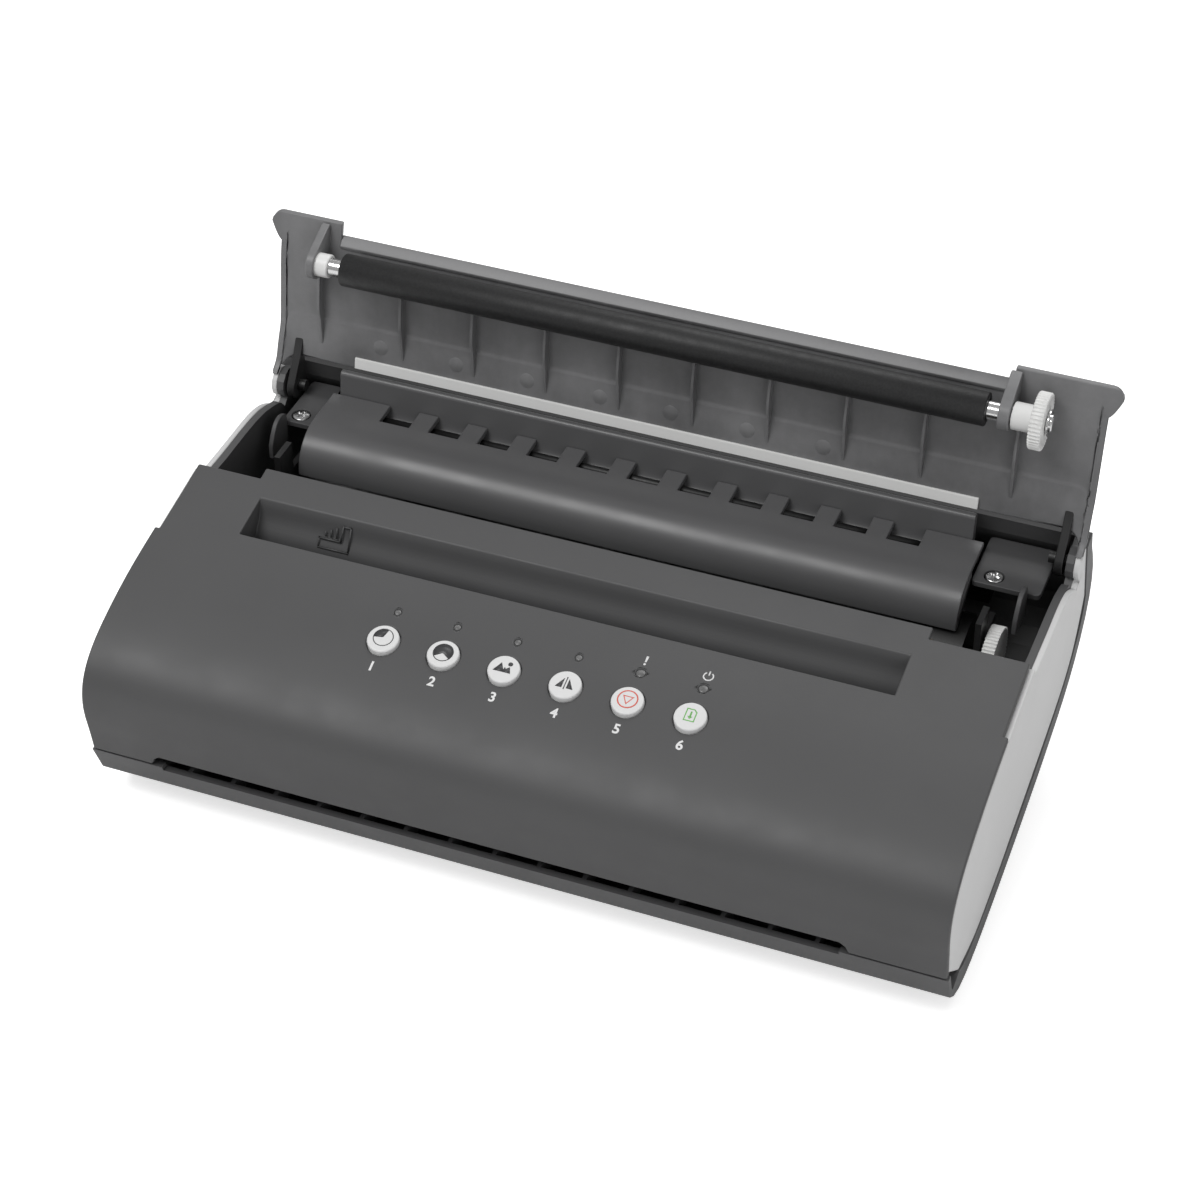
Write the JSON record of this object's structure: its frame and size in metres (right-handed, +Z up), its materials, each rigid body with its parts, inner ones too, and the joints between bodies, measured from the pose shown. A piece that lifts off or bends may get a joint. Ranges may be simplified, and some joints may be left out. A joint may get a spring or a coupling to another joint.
{
  "type": "thermal stencil copier",
  "caption": "Desk-top stencil copier with a hinged rear lid that carries the platen roller, a feed trough, an exit slot and a row of round keys.",
  "frame": {"origin": "on the table, under the middle of the whole machine with its lid open", "axes": "+X to the operator's right, along the machine's length; +Y to the rear; +Z up"},
  "size_m": [0.2922, 0.1657, 0.1344],
  "materials": {
    "case_black": "fine moulded texture",
    "case_grey": "fine spark-eroded texture",
    "panel_light": "satin, faint grain",
    "frame_black": "moulded",
    "foot_rubber": "matt",
    "roller_rubber": "ground, matt",
    "white_plastic": "natural acetal",
    "key_white": "satin",
    "steel": "ground",
    "screw_steel": "nickel plated",
    "aluminium": "extruded",
    "ceramic": "glazed",
    "sensor_black": "glass topped",
    "board_green": "solder mask",
    "lamp_clear": "smoked",
    "motor_steel": "zinc plated"
  },
  "bodies": {
    "base": {"base_shell": "case_black", "top_cover": "case_grey", "side_panel_left": "panel_light", "side_panel_right": "panel_light", "rubber_feet": "foot_rubber", "frame_plate_left": "frame_black", "frame_plate_right": "frame_black", "floor_plate_left": "case_grey", "floor_plate_right": "case_grey", "floor_screws": "screw_steel", "paper_guide": "case_grey", "guide_shaft": "steel", "rear_guide_bar": "case_grey", "thermal_head": "ceramic", "head_heatsink": "aluminium", "scan_sensor": "sensor_black", "main_board": "board_green", "key_board": "board_green", "lamp_pipes": "lamp_clear", "stepper_motor": "motor_steel", "gear_clips": "steel", "hinge_pins": "steel", "latch_arms": "case_grey", "dc_jack": "sensor_black", "usb_port": "steel", "switch_frame": "sensor_black"},
    "lid": {"rear_lid": "case_grey", "platen_bush": "white_plastic", "lid_strip": "white_plastic"},
    "platen": {"platen_shaft": "steel", "platen_rubber": "roller_rubber", "platen_gear": "white_plastic", "platen_clip": "steel"},
    "drive": {"drive_gear": "white_plastic"},
    "pinion": {"motor_pinion": "white_plastic"},
    "idler_rear": {"idler_gear_rear": "white_plastic"},
    "idler_front": {"idler_gear_front": "white_plastic"},
    "scan_feed": {"scan_gear": "white_plastic", "scan_shaft": "steel", "scan_roller": "roller_rubber"},
    "rocker": {"switch_rocker": "sensor_black"},
    "key_1": {"key_1": "key_white"},
    "key_2": {"key_2": "key_white"},
    "key_3": {"key_3": "key_white"},
    "key_4": {"key_4": "key_white"},
    "key_5": {"key_5": "key_white"},
    "key_6": {"key_6": "key_white"}
  },
  "joints": [
    {"name": "lid_hinge", "type": "hinge", "parent": "base", "child": "lid", "pos_m": [0, 0.064, 0.0746], "axis": [1, 0, 0], "range_deg": [0, 99]},
    {"name": "platen_spin", "type": "hinge", "parent": "lid", "child": "platen", "pos_m": [0, 0.0664, 0.1243], "axis": [1, 0, 0], "continuous": true},
    {"name": "scan_spin", "type": "hinge", "parent": "base", "child": "scan_feed", "pos_m": [0, -0.0399, 0.03807], "axis": [1, 0, 0], "continuous": true},
    {"name": "idler_front_spin", "type": "hinge", "parent": "base", "child": "idler_front", "pos_m": [0, -0.02073, 0.0425], "axis": [1, 0, 0], "continuous": true},
    {"name": "idler_rear_spin", "type": "hinge", "parent": "base", "child": "idler_rear", "pos_m": [0, 0.00484, 0.0484], "axis": [1, 0, 0], "continuous": true},
    {"name": "drive_spin", "type": "hinge", "parent": "base", "child": "drive", "pos_m": [0, 0.02961, 0.05412], "axis": [1, 0, 0], "continuous": true},
    {"name": "pinion_spin", "type": "hinge", "parent": "base", "child": "pinion", "pos_m": [0, 0.03963, 0.04218], "axis": [1, 0, 0], "continuous": true},
    {"name": "key_1_press", "type": "slide", "parent": "base", "child": "key_1", "axis": [0, 0.2649, -0.9643], "range_m": [0, 0.0009], "stiffness_N_per_m": 400},
    {"name": "key_2_press", "type": "slide", "parent": "base", "child": "key_2", "axis": [0, 0.2649, -0.9643], "range_m": [0, 0.0009], "stiffness_N_per_m": 400},
    {"name": "key_3_press", "type": "slide", "parent": "base", "child": "key_3", "axis": [0, 0.2649, -0.9643], "range_m": [0, 0.0009], "stiffness_N_per_m": 400},
    {"name": "key_4_press", "type": "slide", "parent": "base", "child": "key_4", "axis": [0, 0.2649, -0.9643], "range_m": [0, 0.0009], "stiffness_N_per_m": 400},
    {"name": "key_5_press", "type": "slide", "parent": "base", "child": "key_5", "axis": [0, 0.2649, -0.9643], "range_m": [0, 0.0009], "stiffness_N_per_m": 400},
    {"name": "key_6_press", "type": "slide", "parent": "base", "child": "key_6", "axis": [0, 0.2649, -0.9643], "range_m": [0, 0.0009], "stiffness_N_per_m": 400},
    {"name": "power_rocker", "type": "hinge", "parent": "base", "child": "rocker", "pos_m": [0.104, 0.0773, 0.049], "axis": [1, 0, 0], "range_deg": [0, 24]}
  ],
  "couplings": [
    {"joint": "idler_front_spin", "follows": "scan_spin", "ratio": -0.5},
    {"joint": "idler_rear_spin", "follows": "scan_spin", "ratio": 0.5},
    {"joint": "drive_spin", "follows": "scan_spin", "ratio": -0.53333},
    {"joint": "pinion_spin", "follows": "scan_spin", "ratio": 2}
  ]
}
